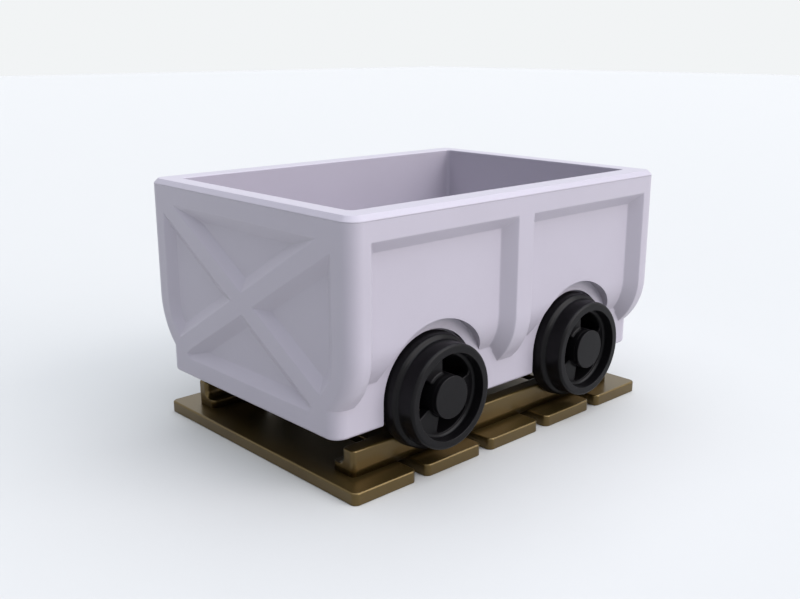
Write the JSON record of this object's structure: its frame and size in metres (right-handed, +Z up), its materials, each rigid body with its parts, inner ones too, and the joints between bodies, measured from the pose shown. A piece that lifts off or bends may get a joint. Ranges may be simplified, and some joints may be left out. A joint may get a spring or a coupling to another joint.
{
  "type": "mine cart",
  "caption": "Narrow-gauge mine cart with X-braced ends and panelled sides, running on four outside wheels along a short length of track",
  "frame": {"origin": "Middle of the sleepers' underside, on the ground, with the cart standing at the middle of its track", "axes": "+X along the rails (front of the cart), +Y to the cart's left across the rails, +Z up"},
  "size_m": [1.1548, 0.8774, 0.676],
  "materials": {
    "tub_paint": "off-white satin paint with a faint violet tint",
    "wheel_paint": "black satin enamel on cast iron",
    "track_bronze": "dark bronze-brown gloss coating",
    "frame_paint": "black satin chassis paint",
    "machined_steel": "plain machined steel",
    "seal_rubber": "black nitrile rubber"
  },
  "bodies": {
    "track": {"sleeper_1": "track_bronze", "sleeper_2": "track_bronze", "sleeper_3": "track_bronze", "sleeper_4": "track_bronze", "sleeper_5": "track_bronze", "rail_left": "track_bronze", "rail_right": "track_bronze", "rail_screws": "machined_steel"},
    "cart": {"tub_side_left": "tub_paint", "tub_side_right": "tub_paint", "tub_end_front": "tub_paint", "tub_end_rear": "tub_paint", "rim_left": "tub_paint", "rim_right": "tub_paint", "rim_front": "tub_paint", "rim_rear": "tub_paint", "bin_lower_wall_left": "tub_paint", "bin_lower_wall_right": "tub_paint", "bin_shoulder_left": "tub_paint", "bin_shoulder_right": "tub_paint", "bin_wall_left": "tub_paint", "bin_wall_right": "tub_paint", "bin_end_front": "tub_paint", "bin_end_rear": "tub_paint", "bin_floor": "tub_paint", "floor_rivets": "machined_steel", "sill_left": "frame_paint", "sill_right": "frame_paint", "headstock_front": "frame_paint", "headstock_rear": "frame_paint", "axle_front": "machined_steel", "axle_rear": "machined_steel", "axle_box_bolts": "machined_steel", "thrust_washers": "machined_steel", "axle_nuts": "machined_steel", "wheel_well_front_left": "tub_paint", "axle_box_front_left": "frame_paint", "wheel_well_front_right": "tub_paint", "axle_box_front_right": "frame_paint", "wheel_well_rear_left": "tub_paint", "axle_box_rear_left": "frame_paint", "wheel_well_rear_right": "tub_paint", "axle_box_rear_right": "frame_paint"},
    "wheel_set_front_left": {"wheel_front_left": "wheel_paint", "hub_cap_front_left": "wheel_paint", "bearings_front_left": "machined_steel", "seal_front_left": "seal_rubber"},
    "wheel_set_front_right": {"wheel_front_right": "wheel_paint", "hub_cap_front_right": "wheel_paint", "bearings_front_right": "machined_steel", "seal_front_right": "seal_rubber"},
    "wheel_set_rear_left": {"wheel_rear_left": "wheel_paint", "hub_cap_rear_left": "wheel_paint", "bearings_rear_left": "machined_steel", "seal_rear_left": "seal_rubber"},
    "wheel_set_rear_right": {"wheel_rear_right": "wheel_paint", "hub_cap_rear_right": "wheel_paint", "bearings_rear_right": "machined_steel", "seal_rear_right": "seal_rubber"}
  },
  "joints": [
    {"name": "cart_travel", "type": "slide", "parent": "track", "child": "cart", "axis": [1, 0, 0], "range_m": [-0.22, 0.22]},
    {"name": "wheel_turn_front_left", "type": "hinge", "parent": "cart", "child": "wheel_set_front_left", "pos_m": [0.275, 0.36, 0.2026], "axis": [0, 1, 0], "continuous": true},
    {"name": "wheel_turn_front_right", "type": "hinge", "parent": "cart", "child": "wheel_set_front_right", "pos_m": [0.275, -0.36, 0.2026], "axis": [0, 1, 0], "continuous": true},
    {"name": "wheel_turn_rear_left", "type": "hinge", "parent": "cart", "child": "wheel_set_rear_left", "pos_m": [-0.275, 0.36, 0.2026], "axis": [0, 1, 0], "continuous": true},
    {"name": "wheel_turn_rear_right", "type": "hinge", "parent": "cart", "child": "wheel_set_rear_right", "pos_m": [-0.275, -0.36, 0.2026], "axis": [0, 1, 0], "continuous": true}
  ],
  "couplings": [
    {"joint": "wheel_turn_front_left", "follows": "cart_travel", "rad_per_m": 9.6993},
    {"joint": "wheel_turn_front_right", "follows": "cart_travel", "rad_per_m": 9.6993},
    {"joint": "wheel_turn_rear_left", "follows": "cart_travel", "rad_per_m": 9.6993},
    {"joint": "wheel_turn_rear_right", "follows": "cart_travel", "rad_per_m": 9.6993}
  ]
}
